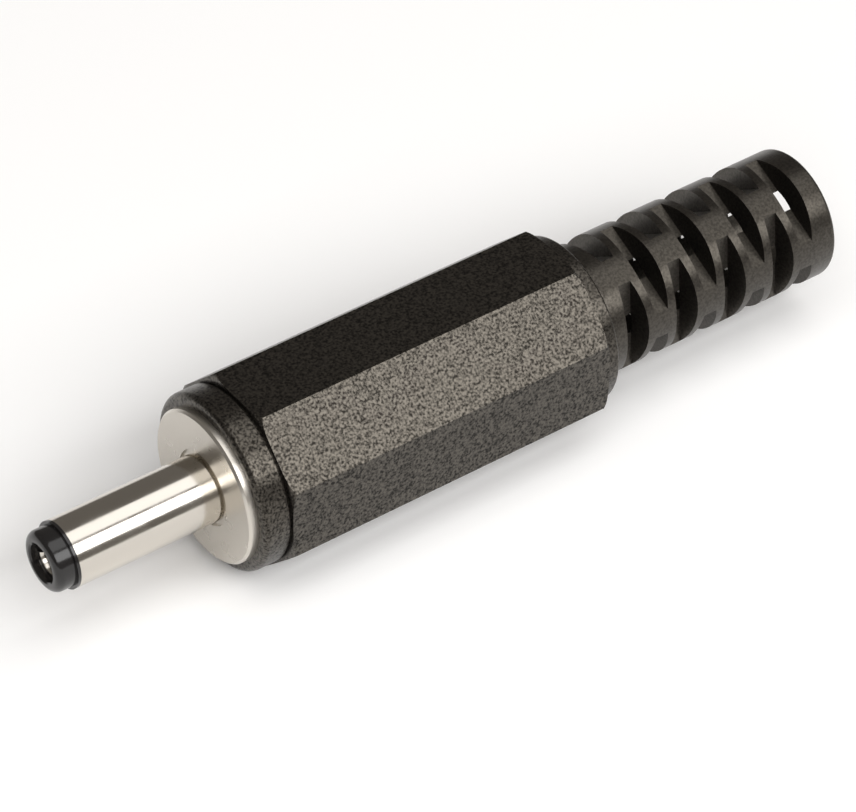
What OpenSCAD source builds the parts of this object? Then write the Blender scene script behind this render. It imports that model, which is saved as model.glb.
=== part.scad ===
// DC barrel plug, 3.5 mm sleeve with a 1.35 mm centre contact and a screw-on octagonal cover.
// The plug's axis is X. The tip points to -X and the cable leaves towards +X. The origin is on
// the axis, in the plane of the flange's front face, and the plug lies on one flat of its cover.

/* [Flange and threaded boss] */
// Diameter of the flange that stops against the socket
flange_d = 8.05; // [7.4:0.05:8.6]
// Thickness of the flange
flange_t = 0.45; // [0.35:0.05:1.2]
// Chamfer on the flange's front edge
flange_chamfer = 0.12; // [0.05:0.01:0.2]
// Diameter of the recess that the sleeve comes out of
recess_d = 4.0; // [3.8:0.05:4.6]
// Depth of that recess
recess_depth = 0.14; // [0.1:0.01:0.3]
// Outside diameter of the thread that carries the cover
thread_d = 6.6; // [6.4:0.1:7]
// Length of the threaded boss behind the flange
boss_len = 5.8; // [4:0.1:8]
// Width of the turned groove between the flange and the thread
undercut_w = 0.5; // [0.2:0.05:1]
// Depth of that groove
undercut_depth = 0.3; // [0.1:0.05:0.4]
// Diameter of the neck that the earth tag is swaged on
neck_d = 4.9; // [4.7:0.05:4.95]
// Length of the lip that is swaged over the earth tag
swage_len = 0.4; // [0.2:0.05:0.8]
// How far the swaged lip stands out over the neck
swage_lip = 0.15; // [0.1:0.01:0.16]

/* [Sleeve] */
// Outside diameter of the sleeve, the outer contact
sleeve_d = 3.5; // [3.4:0.05:3.6]
// Wall of the sleeve
sleeve_wall = 0.3; // [0.25:0.01:0.3]
// Length of bare sleeve in front of the flange
sleeve_len = 7.95; // [6:0.05:14]
// Length of sleeve held inside the boss
sleeve_hold = 4.8; // [3:0.1:5]
// How much the sleeve is drawn in, on the radius, to the neck that the boss holds
sleeve_draw = 0.3; // [0.25:0.01:0.32]

/* [Tip insulator] */
// Length of the insulating nose in front of the sleeve
nose_len = 1.15; // [0.8:0.05:2]
// Length of the nose's rim that seats on the sleeve's end
nose_rim = 0.16; // [0.1:0.01:0.3]
// Step from the rim down to the nose, on the radius
nose_step = 0.16; // [0.05:0.01:0.2]
// Rounding of the nose's front edge
nose_round = 0.4; // [0.2:0.05:0.45]
// Diameter of the hole in the nose
nose_hole_d = 2.0; // [1.95:0.05:2.1]

/* [Centre contact] */
// Bore of the centre contact
contact_bore = 1.35; // [1.1:0.05:1.5]
// Outside diameter of the centre contact
contact_d = 1.9; // [1.8:0.02:1.92]
// How far the contact's mouth lies behind the front of the nose
contact_setback = 0.45; // [0.2:0.05:1]
// Depth of the contact's bore
contact_depth = 8.0; // [6:0.1:9]
// Depth of the funnel at its mouth
contact_funnel = 0.2; // [0.1:0.05:0.4]
// Width of the slit that makes the contact springy
slit_w = 0.26; // [0.15:0.01:0.3]
// Length of that slit
slit_len = 5.0; // [3:0.1:7]
// Diameter of the stem that carries the contact's current
stem_d = 1.2; // [1:0.05:1.4]
// Diameter of the riveted head on the stem's end
rivet_d = 2.0; // [1.7:0.05:2.3]
// Height of that head
rivet_h = 0.4; // [0.25:0.05:0.6]

/* [Rear insulator] */
// Diameter of the bush's flange between the two tags
bush_d = 4.8; // [4.5:0.1:5]
// Thickness of that flange
bush_t = 0.8; // [0.5:0.05:1.5]
// Diameter of the bush's spigot in the boss
spigot_d = 4.0; // [3.7:0.1:4.1]
// Length of the spigot
spigot_len = 1.0; // [0.6:0.1:1.4]

/* [Solder tags] */
// Thickness of the tag metal
tag_t = 0.35; // [0.25:0.05:0.5]
// Diameter of the centre tag's eye
centre_eye_d = 4.2; // [3.4:0.1:4.4]
// Width of the centre tag's lug
centre_lug_w = 1.8; // [1.4:0.1:2.2]
// Length of the centre tag's lug
centre_lug_len = 4.6; // [3:0.1:5]
// Diameter of the wire hole in each lug
wire_hole_d = 0.9; // [0.6:0.05:1]
// Outside diameter of the earth tag's eye and of its cable clamp
earth_eye_d = 6.0; // [5.9:0.1:6.2]
// Width of the earth tag's lug
earth_lug_w = 2.2; // [1.8:0.1:2.6]
// Distance from the earth tag's eye to the front of its cable clamp
clamp_start = 5.6; // [5:0.1:6]
// Width of the cable clamp
clamp_w = 3.0; // [2:0.1:3.4]
// Angle of the opening between the clamp's ears
clamp_gap = 130; // [100:5:180]

/* [Cover] */
// Distance across the flats of the octagonal grip
grip_af = 9.52; // [9.5:0.02:11]
// Length of the octagonal grip
grip_len = 18.8; // [17:0.1:24]
// Rounding of the grip's corners at both ends
grip_round = 0.45; // [0.2:0.05:0.6]
// Diameter of the round collar in front of the grip
collar_d = 9.3; // [9.1:0.05:9.45]
// Length of that collar
collar_len = 1.5; // [1.1:0.02:2.5]
// Rounding of the collar's front edge
collar_round = 0.35; // [0.2:0.05:0.45]
// Width and depth of the groove between collar and grip
collar_groove = 0.13; // [0.08:0.01:0.2]
// Diameter of the round shoulder behind the grip
shoulder_d = 8.88; // [8.4:0.02:9.4]
// Length of that shoulder
shoulder_len = 0.9; // [0.6:0.05:2]
// Rounding of the shoulder's rear edge
shoulder_round = 0.12; // [0.05:0.01:0.2]
// Diameter of the cavity round the solder tags
cavity_d = 7.2; // [7.1:0.05:7.4]
// Thickness of the cavity's rear wall along the axis
cavity_end = 1.3; // [1:0.1:2]

/* [Strain relief] */
// Outside diameter of the strain relief
relief_d = 6.96; // [6.6:0.02:7.4]
// Bore for the cable
cable_bore = 4.84; // [4.7:0.02:4.9]
// Length of the strain relief
relief_len = 14.6; // [13.6:0.1:20]
// Rounding of its rear edge
relief_round = 0.2; // [0.1:0.05:0.35]
// Number of slotted levels along the strain relief
slot_levels = 8; // [4:1:8]
// Distance from one slotted level to the next
slot_pitch = 1.54; // [1.46:0.01:1.6]
// Slots round the strain relief at each level
slots_round = 3; // [3:1:3]
// Distance from the axis to the flat floor of a slot
slot_floor = 2.35; // [2.3:0.01:2.6]
// Width of a slot at its floor
slot_floor_w = 0.76; // [0.5:0.02:0.9]
// Width of a slot at the outer surface
slot_mouth_w = 1.34; // [1:0.02:1.36]
// Turn of the first level's slots from the side of the plug
slot_turn = 5; // [0:1:60]

/* [Clearances] */
// Gap on the radius between the boss and the cover's bore
thread_gap = 0.08; // [0.05:0.01:0.1]
// Gap on the radius between pressed pieces
press_gap = 0.02; // [0.01:0.01:0.05]

/* [Hidden] */

$fn = 96;
overcut = 0.5;              // how far a cutter runs past the face that it cuts
arc_steps = 8;              // straight stretches in a quarter round

// Stations along the axis
boss_end = flange_t + boss_len;
neck_end = boss_end + tag_t + swage_len;
sleeve_front = -sleeve_len;
sleeve_rear = recess_depth + sleeve_hold;
nose_front = sleeve_front - nose_len;
contact_front = nose_front + contact_setback;
contact_floor = contact_front + contact_depth;
contact_rear = contact_floor + contact_d / 2;
spigot_front = neck_end - spigot_len;
bush_rear = neck_end + bush_t;
rivet_front = bush_rear + tag_t;
grip_front = flange_t + collar_len;
grip_rear = grip_front + grip_len;
shoulder_rear = grip_rear + shoulder_len;
relief_rear = shoulder_rear + relief_len;
slots_start = shoulder_rear + (relief_len - (slot_levels - 1) * slot_pitch) / 2;
cavity_rear = shoulder_rear - cavity_end;

// Radii that follow from the fits
sleeve_r = sleeve_d / 2;
held_r = sleeve_r - sleeve_draw;
shank_r = sleeve_r - sleeve_wall - press_gap;
sleeve_neck_r = held_r - sleeve_wall;
sleeve_step = recess_depth - sleeve_wall;
boss_bore_r = held_r + press_gap;
spigot_bore_r = spigot_d / 2 + press_gap;
stem_hole_r = stem_d / 2 + press_gap;
earth_hole_r = neck_d / 2 + press_gap;
cover_bore_r = thread_d / 2 + thread_gap;
earth_r = earth_eye_d / 2;

// Points on a round of radius r about [x, y], from angle a to angle b
function round_points(x, y, r, a, b) =
    [for (i = [0 : arc_steps]) let (t = a + (b - a) * i / arc_steps) [x + r * cos(t), y + r * sin(t)]];

// Turns children modelled along Z so that they lie along X
module along_x() rotate([0, 90, 0]) children();

// A solid of revolution about X from a profile whose points are [station, radius]
module turned(profile) along_x() rotate_extrude() polygon([for (p = profile) [p[1], p[0]]]);

// A plain round hole or rod about X between two stations
module rod(r, from, to) translate([from, 0, 0]) along_x() cylinder(r = r, h = to - from);

// ---- Cover: collar, octagonal grip, shoulder and strain relief, moulded in one piece ----

// Turned envelope that rounds the octagon's corners at both ends
module grip_envelope() {
    r_flat = grip_af / 2;
    r_out = r_flat + grip_round;
    turned(concat(
        [[grip_front, 0]],
        round_points(grip_front + grip_round, r_flat, grip_round, 180, 90),
        round_points(grip_rear - grip_round, r_flat, grip_round, 90, 0),
        [[grip_rear, 0]]));
}

module grip() {
    intersection() {
        translate([grip_front, 0, 0]) along_x() rotate([0, 0, 22.5])
            cylinder(r = grip_af / 2 / cos(22.5), h = grip_len, $fn = 8);
        grip_envelope();
    }
}

// The collar in front of the grip, with the narrow groove at its root
module collar() {
    r = collar_d / 2;
    turned(concat(
        [[flange_t, 0]],
        round_points(flange_t + collar_round, r - collar_round, collar_round, 180, 90),
        [[grip_front - collar_groove, r],
         [grip_front - collar_groove, r - collar_groove],
         [grip_front + overcut, r - collar_groove],
         [grip_front + overcut, 0]]));
}

module shoulder() {
    r = shoulder_d / 2;
    turned(concat(
        [[grip_rear - overcut, 0], [grip_rear - overcut, r]],
        round_points(shoulder_rear - shoulder_round, r - shoulder_round, shoulder_round, 90, 0),
        [[shoulder_rear, 0]]));
}

module relief_tube() {
    r = relief_d / 2;
    turned(concat(
        [[shoulder_rear - overcut, 0], [shoulder_rear - overcut, r]],
        round_points(relief_rear - relief_round, r - relief_round, relief_round, 90, 0),
        [[relief_rear, 0]]));
}

// One flat-floored slot with drafted sides, cut in from -Y
module slot() {
    slope = (slot_mouth_w - slot_floor_w) / 2 / (relief_d / 2 - slot_floor);
    top = relief_d / 2 + overcut;
    top_w = slot_floor_w + 2 * slope * (top - slot_floor);
    translate([0, 0, -relief_d / 2 - overcut])
        linear_extrude(height = relief_d + 2 * overcut)
            polygon([[-slot_floor_w / 2, -slot_floor], [slot_floor_w / 2, -slot_floor],
                     [top_w / 2, -top], [-top_w / 2, -top]]);
}

module relief_slots() {
    step = 360 / slots_round;
    for (level = [0 : slot_levels - 1])
        for (k = [0 : slots_round - 1])
            translate([slots_start + level * slot_pitch, 0, 0])
                rotate([-slot_turn - (level % 2) * step / 2 - k * step, 0, 0]) slot();
}

// Bore for the boss, the cavity round the tags and the way out for the cable
module cover_hollow() {
    cavity_front = flange_t + boss_len + flange_t;
    taper = (cavity_d - cable_bore) / 2;
    turned([[flange_t - overcut, 0], [flange_t - overcut, cover_bore_r],
            [cavity_front, cover_bore_r], [cavity_front, cavity_d / 2],
            [cavity_rear - taper, cavity_d / 2], [cavity_rear, cable_bore / 2],
            [relief_rear + overcut, cable_bore / 2], [relief_rear + overcut, 0]]);
}

module cover() {
    color([0.10, 0.09, 0.09]) difference() {
        union() {
            collar();
            grip();
            shoulder();
            relief_tube();
        }
        cover_hollow();
        relief_slots();
    }
}

// ---- Flange and threaded boss, turned in one piece ----

module flange_boss() {
    r = thread_d / 2;
    color([0.86, 0.82, 0.74]) difference() {
        turned([[0, 0], [0, flange_d / 2 - flange_chamfer], [flange_chamfer, flange_d / 2],
                [flange_t, flange_d / 2], [flange_t, r - undercut_depth],
                [flange_t + undercut_w, r - undercut_depth], [flange_t + undercut_w + undercut_depth, r],
                [boss_end - undercut_depth, r], [boss_end, r - undercut_depth],
                [boss_end, neck_d / 2], [boss_end + tag_t, neck_d / 2],
                [boss_end + tag_t, neck_d / 2 + swage_lip], [neck_end - swage_lip, neck_d / 2 + swage_lip],
                [neck_end, neck_d / 2], [neck_end, 0]]);
        rod(recess_d / 2, -overcut, recess_depth);
        rod(boss_bore_r, 0, neck_end);
        rod(spigot_bore_r, spigot_front, neck_end + overcut);
    }
}

// ---- Sleeve: the outer contact ----

module sleeve() {
    color([0.88, 0.86, 0.80]) difference() {
        union() {
            rod(sleeve_r, sleeve_front, recess_depth);
            rod(held_r, 0, sleeve_rear);
        }
        rod(sleeve_r - sleeve_wall, sleeve_front - overcut, sleeve_step);
        rod(sleeve_neck_r, sleeve_step - overcut, sleeve_rear + overcut);
    }
}

// ---- Tip insulator: nose and shank, moulded in one piece ----

module tip_insulator() {
    r = sleeve_r - nose_step;
    lip = nose_rim / 2;
    color([0.07, 0.06, 0.06]) difference() {
        turned(concat(
            [[nose_front, 0]],
            round_points(nose_front + nose_round, r - nose_round, nose_round, 180, 90),
            [[sleeve_front - nose_rim, r], [sleeve_front - nose_rim, sleeve_r],
             [sleeve_front, sleeve_r], [sleeve_front, shank_r],
             [sleeve_step, shank_r], [sleeve_step, sleeve_neck_r - press_gap],
             [sleeve_rear, sleeve_neck_r - press_gap], [sleeve_rear, 0]]));
        rod(nose_hole_d / 2, nose_front - overcut, contact_rear);
        rod(stem_hole_r, 0, sleeve_rear + overcut);
        turned([[nose_front - lip, 0], [nose_front - lip, nose_hole_d / 2 + 2 * lip],
                [nose_front + lip, nose_hole_d / 2], [nose_front + lip, 0]]);
    }
}

// ---- Centre contact: slit tube, stem and riveted head ----

module centre_contact() {
    r = contact_d / 2;
    bore_r = contact_bore / 2;
    flare_r = (r + bore_r) / 2;
    color([0.84, 0.80, 0.70]) difference() {
        turned([[contact_front, 0], [contact_front, r], [contact_rear, r], [contact_rear, stem_d / 2],
                [rivet_front, stem_d / 2], [rivet_front, rivet_d / 2],
                [rivet_front + rivet_h / 2, rivet_d / 2], [rivet_front + rivet_h, rivet_d / 4],
                [rivet_front + rivet_h, 0]]);
        turned([[contact_front - overcut, 0], [contact_front - overcut, flare_r],
                [contact_front, flare_r], [contact_front + contact_funnel, bore_r],
                [contact_floor, bore_r], [contact_floor + bore_r / 2, 0]]);
        translate([contact_front - overcut, -r - overcut, -slit_w / 2])
            cube([slit_len + overcut, 2 * (r + overcut), slit_w]);
    }
}

// ---- Rear insulator: stepped bush between the boss and the centre tag ----

module rear_insulator() {
    color([0.80, 0.76, 0.66]) difference() {
        union() {
            rod(spigot_d / 2, spigot_front, neck_end);
            rod(bush_d / 2, neck_end, bush_rear);
        }
        rod(stem_hole_r, spigot_front - overcut, bush_rear + overcut);
    }
}

// ---- Solder tags, stamped and bent from sheet ----

// A flat lug along X with a round end and a wire hole, its lower face at z = 0
module lug(len, w) {
    difference() {
        union() {
            translate([0, -w / 2, 0]) cube([len - w / 2, w, tag_t]);
            translate([len - w / 2, 0, 0]) cylinder(d = w, h = tag_t);
        }
        translate([len - w / 2, 0, -overcut]) cylinder(d = wire_hole_d, h = tag_t + 2 * overcut);
    }
}

module centre_tag() {
    lug_z = centre_eye_d / 2 - tag_t;
    color([0.85, 0.82, 0.74]) difference() {
        union() {
            rod(centre_eye_d / 2, bush_rear, rivet_front);
            translate([bush_rear, 0, lug_z]) lug(centre_lug_len, centre_lug_w);
            translate([bush_rear, -centre_lug_w / 2, 0]) cube([tag_t, centre_lug_w, lug_z + tag_t]);
        }
        rod(stem_hole_r, bush_rear - overcut, rivet_front + overcut);
    }
}

module earth_tag() {
    eye_rear = boss_end + tag_t;
    clamp_front = boss_end + clamp_start;
    clamp_rear = clamp_front + clamp_w;
    color([0.85, 0.82, 0.74]) difference() {
        union() {
            rod(earth_r, boss_end, eye_rear);
            translate([boss_end, -earth_lug_w / 2, -earth_r])
                cube([clamp_front + tag_t - boss_end, earth_lug_w, tag_t]);
            // the clamp's ears follow a round about the cable
            translate([clamp_front, 0, 0]) along_x() rotate([0, 0, clamp_gap / 2 + 180])
                rotate_extrude(angle = 360 - clamp_gap)
                    translate([earth_r - tag_t, 0]) square([tag_t, clamp_w]);
        }
        rod(earth_hole_r, boss_end - overcut, eye_rear + overcut);
        translate([(eye_rear + clamp_front) / 2, 0, -earth_r - overcut])
            cylinder(d = wire_hole_d, h = tag_t + 2 * overcut);
    }
}

cover();
flange_boss();
sleeve();
tip_insulator();
centre_contact();
rear_insulator();
centre_tag();
earth_tag();
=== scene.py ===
"""Looks for a DC barrel plug: finishes for the CAD nodes, the boss's thread and a white table."""

import math

import bpy
from bpy.props import FloatProperty, FloatVectorProperty, IntProperty, PointerProperty
from mathutils import Matrix, Vector


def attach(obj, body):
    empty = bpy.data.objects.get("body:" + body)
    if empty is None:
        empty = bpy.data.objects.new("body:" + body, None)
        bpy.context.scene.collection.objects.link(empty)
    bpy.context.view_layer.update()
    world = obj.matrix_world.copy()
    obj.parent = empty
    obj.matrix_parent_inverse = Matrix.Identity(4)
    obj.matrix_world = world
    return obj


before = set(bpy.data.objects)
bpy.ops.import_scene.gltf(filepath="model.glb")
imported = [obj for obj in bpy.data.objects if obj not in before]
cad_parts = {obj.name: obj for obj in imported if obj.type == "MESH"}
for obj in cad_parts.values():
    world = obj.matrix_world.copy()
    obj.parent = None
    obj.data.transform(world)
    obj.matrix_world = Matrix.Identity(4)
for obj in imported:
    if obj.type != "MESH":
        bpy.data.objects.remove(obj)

bl_info = {
    "name": "DC barrel plug",
    "version": (1, 0, 0),
    "blender": (4, 5, 0),
    "location": "View3D > Sidebar > Plug",
    "description": "Finishes, thread and studio for a DC barrel plug",
    "category": "Object",
}

MM = 0.001
TABLE_Z = -4.76 * MM        # the flat of the grip that the plug lies on
RELIEF_X = 21.7 * MM        # the strain relief starts here and is smoother than the grip
TABLE_HALF = 1.5            # half the side of the white table
SENSOR = 36.0               # width of the camera's sensor, in millimetres
SOFTBOX_LENGTH = 1.1        # along the plug
SOFTBOX_AWAY = 0.6          # from the plug
FRONT_ANGLE, FRONT_SIZE = 41.0, 0.32     # degrees up from the camera's side, and width
TOP_ANGLE, TOP_SIZE = 82.0, 0.40
FACE_ANGLE = 30.0           # edges of the cover that stay sharp, so that its flats do
ROUND_ANGLE = 40.0          # edges of the turned pieces that stay sharp

# The camera's direction and roll in degrees, and its place in millimetres from the flange's
# centre: sideways, up and back.
AZIMUTH, ELEVATION, ROLL = -36.54, 41.43, 0.886
ASIDE, ABOVE, AWAY = 10.71, 3.89, 213.84


class PlugFinish(bpy.types.PropertyGroup):
    """Colours and textures of the plug's materials."""

    plastic: FloatVectorProperty(
        name="Cover colour", description="Colour of the black cover moulding",
        default=(0.0042, 0.0037, 0.0033), subtype="COLOR", min=0.0, max=1.0)
    nickel: FloatVectorProperty(
        name="Nickel colour", description="Colour of the nickel plate",
        default=(0.62, 0.585, 0.53), subtype="COLOR", min=0.0, max=1.0)
    grain: FloatProperty(
        name="Grain size", description="Size of one grain of the cover's eroded texture",
        default=0.13 * MM, unit="LENGTH", min=0.02 * MM, max=1.0 * MM)
    grain_height: FloatProperty(
        name="Grain height", description="Height of the cover's eroded texture",
        default=0.009 * MM, unit="LENGTH", min=0.0, max=0.1 * MM)


class PlugThread(bpy.types.PropertyGroup):
    """Sizes of the thread on the boss."""

    turns: IntProperty(
        name="Turns", description="Number of turns of the thread", default=9, min=1, max=20)
    radius: FloatProperty(
        name="Radius", description="Radius of the ridge's centre line",
        default=3.285 * MM, unit="LENGTH", min=3.0 * MM, max=3.3 * MM)
    ridge: FloatProperty(
        name="Ridge", description="Radius of the ridge's section",
        default=0.06 * MM, unit="LENGTH", min=0.02 * MM, max=0.08 * MM)
    start: FloatProperty(
        name="Start", description="Where the thread starts behind the flange's face",
        default=1.4 * MM, unit="LENGTH", min=1.2 * MM, max=3.0 * MM)
    length: FloatProperty(
        name="Length", description="Length of the threaded stretch",
        default=4.3 * MM, unit="LENGTH", min=1.0 * MM, max=4.5 * MM)


class PlugStage(bpy.types.PropertyGroup):
    """Light and table."""

    key: FloatProperty(
        name="Front light", description="Power of the softbox on the camera's side",
        default=4.6, subtype="POWER", min=0.0, max=50.0)
    top: FloatProperty(
        name="Top light", description="Power of the softbox overhead",
        default=2.1, subtype="POWER", min=0.0, max=50.0)
    room: FloatProperty(
        name="Room light", description="Strength of the dim room round the plug",
        default=0.17, min=0.0, max=2.0)
    lens: FloatProperty(
        name="Lens", description="Focal length of the camera in millimetres on a 36 mm sensor",
        default=189.1, min=20.0, max=400.0)


# ---- Shader helpers ----

def new_material(name, color, metallic, roughness):
    """A material with its node tree and its Principled shader."""
    mat = bpy.data.materials.new(name)
    mat.use_nodes = True
    shader = mat.node_tree.nodes["Principled BSDF"]
    shader.inputs["Base Color"].default_value = (*color, 1.0)
    shader.inputs["Metallic"].default_value = metallic
    shader.inputs["Roughness"].default_value = roughness
    return mat, mat.node_tree, shader


def grain_group():
    """Shared relief: two sizes of noise, as a height and as a mask."""
    tree = bpy.data.node_groups.new("plug_grain", "ShaderNodeTree")
    tree.interface.new_socket("Grains per metre", in_out="INPUT", socket_type="NodeSocketFloat")
    tree.interface.new_socket("Height", in_out="OUTPUT", socket_type="NodeSocketFloat")
    tree.interface.new_socket("Mask", in_out="OUTPUT", socket_type="NodeSocketFloat")
    add, link = tree.nodes.new, tree.links.new
    given, result = add("NodeGroupInput"), add("NodeGroupOutput")
    coord = add("ShaderNodeTexCoord")
    fine, broad = add("ShaderNodeTexNoise"), add("ShaderNodeTexNoise")
    fine.inputs["Detail"].default_value = 3.0
    broad.inputs["Scale"].default_value = 900.0
    link(coord.outputs["Object"], fine.inputs["Vector"])
    link(coord.outputs["Object"], broad.inputs["Vector"])
    link(given.outputs[0], fine.inputs["Scale"])
    link(fine.outputs["Fac"], result.inputs["Height"])
    link(broad.outputs["Fac"], result.inputs["Mask"])
    return tree


def add_group(tree, group, per_metre):
    """Places the shared relief in a material."""
    node = tree.nodes.new("ShaderNodeGroup")
    node.node_tree = group
    node.inputs["Grains per metre"].default_value = per_metre
    return node


def map_range(tree, source, from_min, from_max, to_min, to_max):
    """Maps a value from one range to another and gives the result's socket."""
    node = tree.nodes.new("ShaderNodeMapRange")
    node.inputs["From Min"].default_value = from_min
    node.inputs["From Max"].default_value = from_max
    node.inputs["To Min"].default_value = to_min
    node.inputs["To Max"].default_value = to_max
    tree.links.new(source, node.inputs["Value"])
    return node.outputs["Result"]


def bump(tree, shader, height, distance, strength):
    """Feeds the shader's normal from a height, at full strength where none is given."""
    node = tree.nodes.new("ShaderNodeBump")
    node.inputs["Distance"].default_value = distance
    node.inputs["Strength"].default_value = 1.0
    tree.links.new(height, node.inputs["Height"])
    if strength is not None:
        tree.links.new(strength, node.inputs["Strength"])
    tree.links.new(node.outputs["Normal"], shader.inputs["Normal"])


def cover_material(group, finish):
    """Eroded texture on the grip and collar, smoother and glossier on the strain relief."""
    mat, tree, shader = new_material("cover_plastic", finish.plastic, 0.0, 0.4)
    grain = add_group(tree, group, 1.0 / finish.grain)
    coord = tree.nodes.new("ShaderNodeTexCoord")
    split = tree.nodes.new("ShaderNodeSeparateXYZ")
    tree.links.new(coord.outputs["Object"], split.inputs["Vector"])
    along = split.outputs["X"]
    roughness = map_range(tree, along, RELIEF_X - MM, RELIEF_X + MM, 0.32, 0.33)
    strength = map_range(tree, along, RELIEF_X - MM, RELIEF_X + MM, 1.0, 0.35)
    tree.links.new(roughness, shader.inputs["Roughness"])
    speck = tree.nodes.new("ShaderNodeMath")
    speck.operation = "MULTIPLY"
    tree.links.new(map_range(tree, grain.outputs["Height"], 0.36, 0.64, -0.5, 0.5), speck.inputs[0])
    tree.links.new(strength, speck.inputs[1])
    tree.links.new(map_range(tree, speck.outputs[0], -0.5, 0.5, 0.15, 1.25),
                   shader.inputs["Specular IOR Level"])
    shader.inputs["Specular Tint"].default_value = (1.0, 0.9, 0.76, 1.0)
    bump(tree, shader, grain.outputs["Height"], finish.grain_height, strength)
    return mat


def metal_material(group, name, color, low, high, marks):
    """Plated metal whose polish varies a little, with fine turning or drawing marks."""
    mat, tree, shader = new_material(name, color, 1.0, low)
    grain = add_group(tree, group, 14000.0)
    tree.links.new(map_range(tree, grain.outputs["Mask"], 0.3, 0.7, low, high),
                   shader.inputs["Roughness"])
    bump(tree, shader, grain.outputs["Height"], marks, None)
    return mat


def shade_smooth(obj, sharp_from):
    """Shades the facets of round faces as one, and keeps the edges over an angle sharp."""
    mesh = obj.data
    if "custom_normal" in mesh.attributes:
        mesh.attributes.remove(mesh.attributes["custom_normal"])
    mesh.polygons.foreach_set("use_smooth", [True] * len(mesh.polygons))
    weld = obj.modifiers.new("weld", "WELD")
    weld.merge_threshold = 0.0005 * MM
    edges = obj.modifiers.new("edges", "EDGE_SPLIT")
    edges.split_angle = math.radians(sharp_from)


class PLUG_OT_finishes(bpy.types.Operator):
    """Gives each CAD node the finish of the real piece"""

    bl_idname = "plug.finishes"
    bl_label = "Finish the plug"

    def execute(self, context):
        finish = context.scene.plug_finish
        group = grain_group()
        nickel = tuple(finish.nickel)
        tip = new_material("tip_plastic", (0.012, 0.011, 0.011), 0.0, 0.16)[0]
        bush = new_material("bush_plastic", (0.62, 0.56, 0.45), 0.0, 0.45)[0]
        tag = metal_material(group, "tag_plate", (0.60, 0.57, 0.53), 0.30, 0.42, 0.002 * MM)
        by_node = {
            "cover": cover_material(group, finish),
            "flange_boss": metal_material(group, "flange_plate", nickel, 0.26, 0.34, 0.002 * MM),
            "sleeve": metal_material(group, "sleeve_plate", nickel, 0.12, 0.18, 0.0006 * MM),
            "tip_insulator": tip,
            "centre_contact": metal_material(group, "contact_plate", nickel, 0.14, 0.2, 0.001 * MM),
            "rear_insulator": bush,
            "centre_tag": tag,
            "earth_tag": tag,
        }
        for node, mat in by_node.items():
            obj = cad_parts[node]
            obj.data.materials.clear()
            obj.data.materials.append(mat)
            shade_smooth(obj, FACE_ANGLE if node == "cover" else ROUND_ANGLE)
        return {"FINISHED"}


# ---- The thread on the boss ----

def thread_tree(thread, mat):
    """Geometry nodes: a helix about X swept with a three-sided ridge."""
    tree = bpy.data.node_groups.new("plug_thread", "GeometryNodeTree")
    tree.interface.new_socket("Geometry", in_out="OUTPUT", socket_type="NodeSocketGeometry")
    add, link = tree.nodes.new, tree.links.new
    helix = add("GeometryNodeCurveSpiral")
    helix.inputs["Resolution"].default_value = 64
    helix.inputs["Rotations"].default_value = thread.turns
    helix.inputs["Start Radius"].default_value = thread.radius
    helix.inputs["End Radius"].default_value = thread.radius
    helix.inputs["Height"].default_value = thread.length
    section = add("GeometryNodeCurvePrimitiveCircle")
    section.inputs["Resolution"].default_value = 6
    section.inputs["Radius"].default_value = thread.ridge
    sweep = add("GeometryNodeCurveToMesh")
    sweep.inputs["Fill Caps"].default_value = True
    turn = add("GeometryNodeTransform")
    turn.inputs["Translation"].default_value = (thread.start, 0.0, 0.0)
    turn.inputs["Rotation"].default_value = (0.0, math.pi / 2, 0.0)
    paint = add("GeometryNodeSetMaterial")
    paint.inputs["Material"].default_value = mat
    real = add("GeometryNodeRealizeInstances")
    out = add("NodeGroupOutput")
    link(helix.outputs["Curve"], sweep.inputs["Curve"])
    link(section.outputs["Curve"], sweep.inputs["Profile Curve"])
    link(sweep.outputs["Mesh"], turn.inputs["Geometry"])
    link(turn.outputs["Geometry"], real.inputs["Geometry"])
    link(real.outputs["Geometry"], paint.inputs["Geometry"])
    link(paint.outputs["Geometry"], out.inputs["Geometry"])
    return tree


class PLUG_OT_thread(bpy.types.Operator):
    """Adds the ridge of the thread that carries the cover"""

    bl_idname = "plug.thread"
    bl_label = "Add the boss's thread"

    def execute(self, context):
        mat = bpy.data.materials["flange_plate"]
        obj = bpy.data.objects.new("boss_thread", bpy.data.meshes.new("thread_seed"))
        context.scene.collection.objects.link(obj)
        modifier = obj.modifiers.new("thread", "NODES")
        modifier.node_group = thread_tree(context.scene.plug_thread, mat)
        graph = context.evaluated_depsgraph_get()
        mesh = bpy.data.meshes.new_from_object(obj.evaluated_get(graph))
        obj.modifiers.remove(modifier)
        obj.data = mesh
        mesh.name = "boss_thread"
        if not mesh.materials:
            mesh.materials.append(mat)
        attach(obj, "core")
        return {"FINISHED"}


# ---- Table, light and camera ----

def softbox(name, angle, size, power):
    """A softbox in the plane across the plug, at an angle up from the camera's side."""
    light = bpy.data.lights.new(name, "AREA")
    light.shape = "RECTANGLE"
    light.size = SOFTBOX_LENGTH
    light.size_y = size
    light.energy = power
    obj = bpy.data.objects.new(name, light)
    t = math.radians(angle)
    back = Vector((0.0, -math.cos(t), math.sin(t)))
    side = Vector((1.0, 0.0, 0.0))
    turn = Matrix((side, back.cross(side), back)).transposed().to_4x4()
    obj.matrix_world = Matrix.Translation(back * SOFTBOX_AWAY) @ turn
    bpy.context.scene.collection.objects.link(obj)


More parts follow.
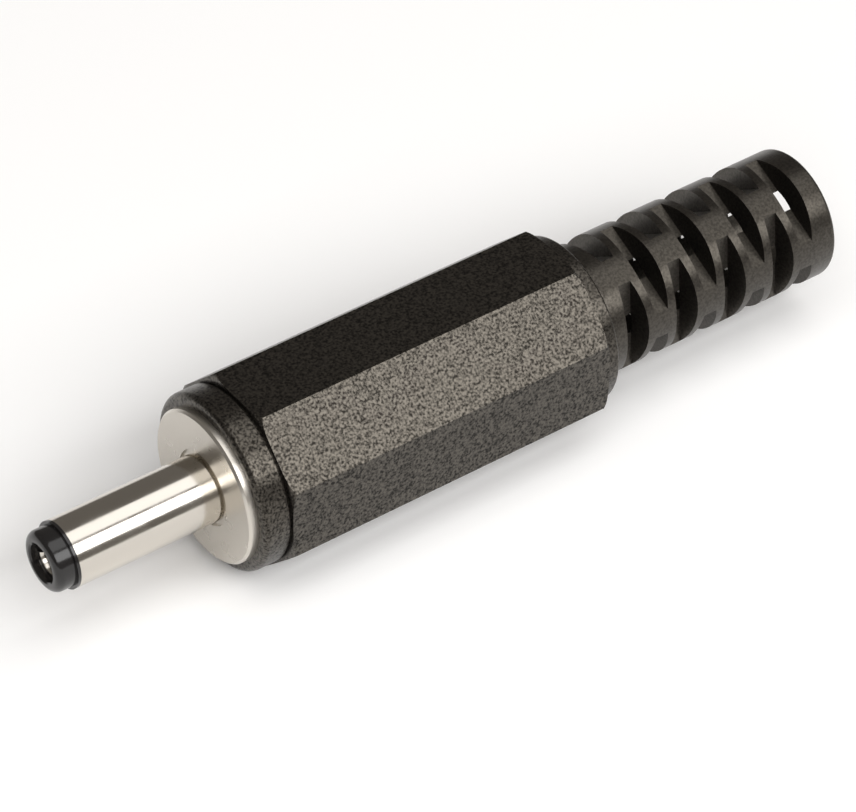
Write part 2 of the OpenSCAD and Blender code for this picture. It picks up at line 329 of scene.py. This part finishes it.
def place_camera(lens):
    """Camera fitted to the plug's outlines; lengths in millimetres from the flange's centre."""
    a, e, roll = (math.radians(v) for v in (AZIMUTH, ELEVATION, ROLL))
    back = Vector((math.sin(a) * math.cos(e), -math.cos(a) * math.cos(e), math.sin(e)))
    right = Vector((math.cos(a), math.sin(a), 0.0))
    up = back.cross(right)
    side = right * math.cos(roll) + up * math.sin(roll)
    rise = up * math.cos(roll) - right * math.sin(roll)
    cam = bpy.data.cameras.new("camera")
    cam.lens = lens
    cam.sensor_width = SENSOR
    cam.clip_start = 0.01
    cam.clip_end = 10.0
    obj = bpy.data.objects.new("camera", cam)
    place = (side * ASIDE + rise * ABOVE + back * AWAY) * MM
    turn = Matrix((side, rise, back)).transposed().to_4x4()
    obj.matrix_world = Matrix.Translation(place) @ turn
    bpy.context.scene.collection.objects.link(obj)
    bpy.context.scene.camera = obj


class PLUG_OT_stage(bpy.types.Operator):
    """Sets up the white table, the softboxes and the camera"""

    bl_idname = "plug.stage"
    bl_label = "Set the stage"

    def execute(self, context):
        scene, stage = context.scene, context.scene.plug_stage
        half = TABLE_HALF
        mesh = bpy.data.meshes.new("table")
        mesh.from_pydata([(-half, -half, TABLE_Z), (half, -half, TABLE_Z),
                          (half, half, TABLE_Z), (-half, half, TABLE_Z)], [], [(0, 1, 2, 3)])
        mat = new_material("table_white", (0.97, 0.965, 0.96), 0.0, 1.0)[0]
        mat.node_tree.nodes["Principled BSDF"].inputs["Specular IOR Level"].default_value = 0.0
        mesh.materials.append(mat)
        table = bpy.data.objects.new("table", mesh)
        scene.collection.objects.link(table)
        softbox("front_softbox", FRONT_ANGLE, FRONT_SIZE, stage.key)
        softbox("top_softbox", TOP_ANGLE, TOP_SIZE, stage.top)
        world = bpy.data.worlds.new("room")
        world.use_nodes = True
        room = world.node_tree.nodes["Background"]
        room.inputs["Color"].default_value = (1.0, 0.93, 0.85, 1.0)
        room.inputs["Strength"].default_value = stage.room
        scene.world = world
        scene.view_settings.view_transform = "Standard"
        place_camera(stage.lens)
        return {"FINISHED"}


class PLUG_PT_panel(bpy.types.Panel):
    """Sizes, finishes and light of the plug"""

    bl_idname = "PLUG_PT_panel"
    bl_label = "DC barrel plug"
    bl_space_type = "VIEW_3D"
    bl_region_type = "UI"
    bl_category = "Plug"

    def draw(self, context):
        scene = context.scene
        for group, operator in ((scene.plug_finish, "plug.finishes"),
                                (scene.plug_thread, "plug.thread"),
                                (scene.plug_stage, "plug.stage")):
            box = self.layout.box()
            for name in group.bl_rna.properties.keys():
                if name not in ("rna_type", "name"):
                    box.prop(group, name)
            box.operator(operator)


CLASSES = (PlugFinish, PlugThread, PlugStage, PLUG_OT_finishes, PLUG_OT_thread,
           PLUG_OT_stage, PLUG_PT_panel)


def register():
    for cls in CLASSES:
        bpy.utils.register_class(cls)
    bpy.types.Scene.plug_finish = PointerProperty(type=PlugFinish)
    bpy.types.Scene.plug_thread = PointerProperty(type=PlugThread)
    bpy.types.Scene.plug_stage = PointerProperty(type=PlugStage)


def unregister():
    del bpy.types.Scene.plug_stage
    del bpy.types.Scene.plug_thread
    del bpy.types.Scene.plug_finish
    for cls in reversed(CLASSES):
        bpy.utils.unregister_class(cls)


def main():
    register()
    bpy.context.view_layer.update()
    bpy.ops.plug.finishes()
    bpy.ops.plug.thread()
    bpy.ops.plug.stage()


if __name__ == "__main__":
    main()
